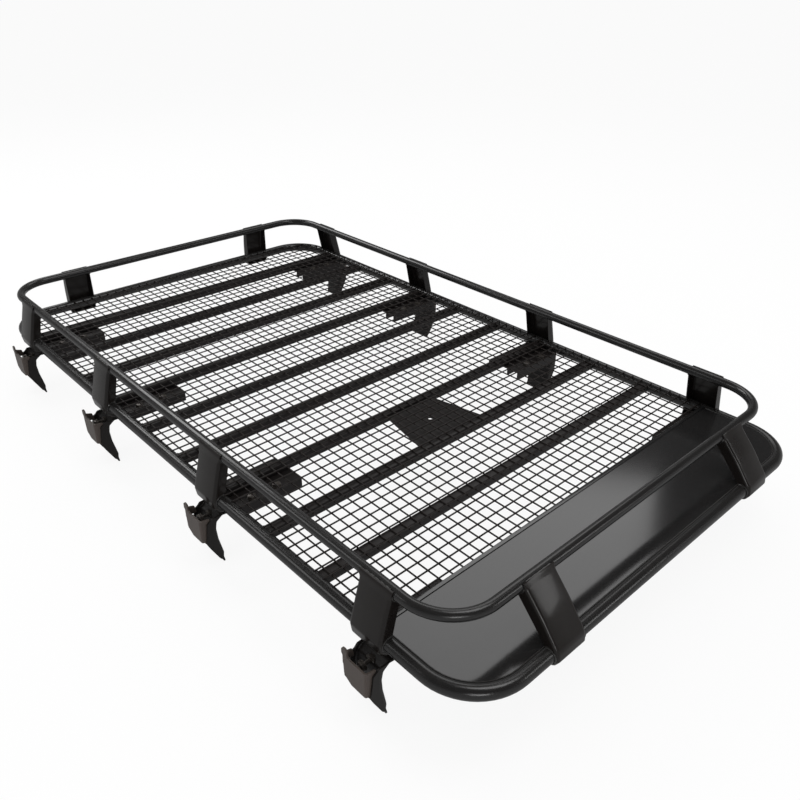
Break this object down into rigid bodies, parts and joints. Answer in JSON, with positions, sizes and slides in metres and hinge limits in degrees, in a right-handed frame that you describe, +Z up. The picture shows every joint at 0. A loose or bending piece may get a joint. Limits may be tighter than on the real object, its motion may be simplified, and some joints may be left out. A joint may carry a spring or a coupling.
{
  "type": "roof rack",
  "caption": "Steel vehicle roof rack: an open basket of two tube rails on bent posts, with a wire mesh deck, a front sheet fairing and bolted gutter legs.",
  "frame": {"origin": "middle of the footprint, on the plane that the eight feet stand on", "axes": "+X to the front, where the sheet fairing is; +Y to the left; +Z up"},
  "size_m": [2.1998, 1.362, 0.3055],
  "materials": {
    "rail_paint": "semi-gloss black powder coat on tube",
    "bar_paint": "satin black powder coat on square tube and plate",
    "mesh_paint": "satin black powder coat on welded wire",
    "fairing_paint": "gloss black powder coat on flat sheet",
    "post_paint": "semi-gloss black powder coat on bent sheet",
    "leg_paint": "satin black powder coat on bent plate",
    "jaw_paint": "satin black powder coat on pressed plate"
  },
  "bodies": {
    "root": {"lower_rail_front": "rail_paint", "lower_rail_rear": "rail_paint", "lower_rail_left": "rail_paint", "lower_rail_right": "rail_paint", "lower_rail_corners": "rail_paint", "upper_rail_front": "rail_paint", "upper_rail_rear": "rail_paint", "upper_rail_left": "rail_paint", "upper_rail_right": "rail_paint", "upper_rail_corners": "rail_paint", "crossbars": "bar_paint", "mesh_panel_1": "mesh_paint", "mesh_panel_2": "mesh_paint", "mesh_panel_3": "mesh_paint", "mesh_panel_4": "mesh_paint", "mesh_panel_5": "mesh_paint", "fairing": "fairing_paint", "centre_plate": "bar_paint", "post_left_1": "post_paint", "post_left_2": "post_paint", "post_left_3": "post_paint", "post_left_4": "post_paint", "post_right_1": "post_paint", "post_right_2": "post_paint", "post_right_3": "post_paint", "post_right_4": "post_paint", "post_front_left": "post_paint", "post_front_right": "post_paint", "post_rear_left": "post_paint", "post_rear_right": "post_paint", "leg_left_1": "leg_paint", "leg_left_2": "leg_paint", "leg_left_3": "leg_paint", "leg_left_4": "leg_paint", "leg_right_1": "leg_paint", "leg_right_2": "leg_paint", "leg_right_3": "leg_paint", "leg_right_4": "leg_paint", "jaw_left_1": "jaw_paint", "jaw_left_2": "jaw_paint", "jaw_left_3": "jaw_paint", "jaw_left_4": "jaw_paint", "jaw_right_1": "jaw_paint", "jaw_right_2": "jaw_paint", "jaw_right_3": "jaw_paint", "jaw_right_4": "jaw_paint", "leg_plates_left": "bar_paint", "leg_plates_right": "bar_paint"}
  },
  "joints": []
}
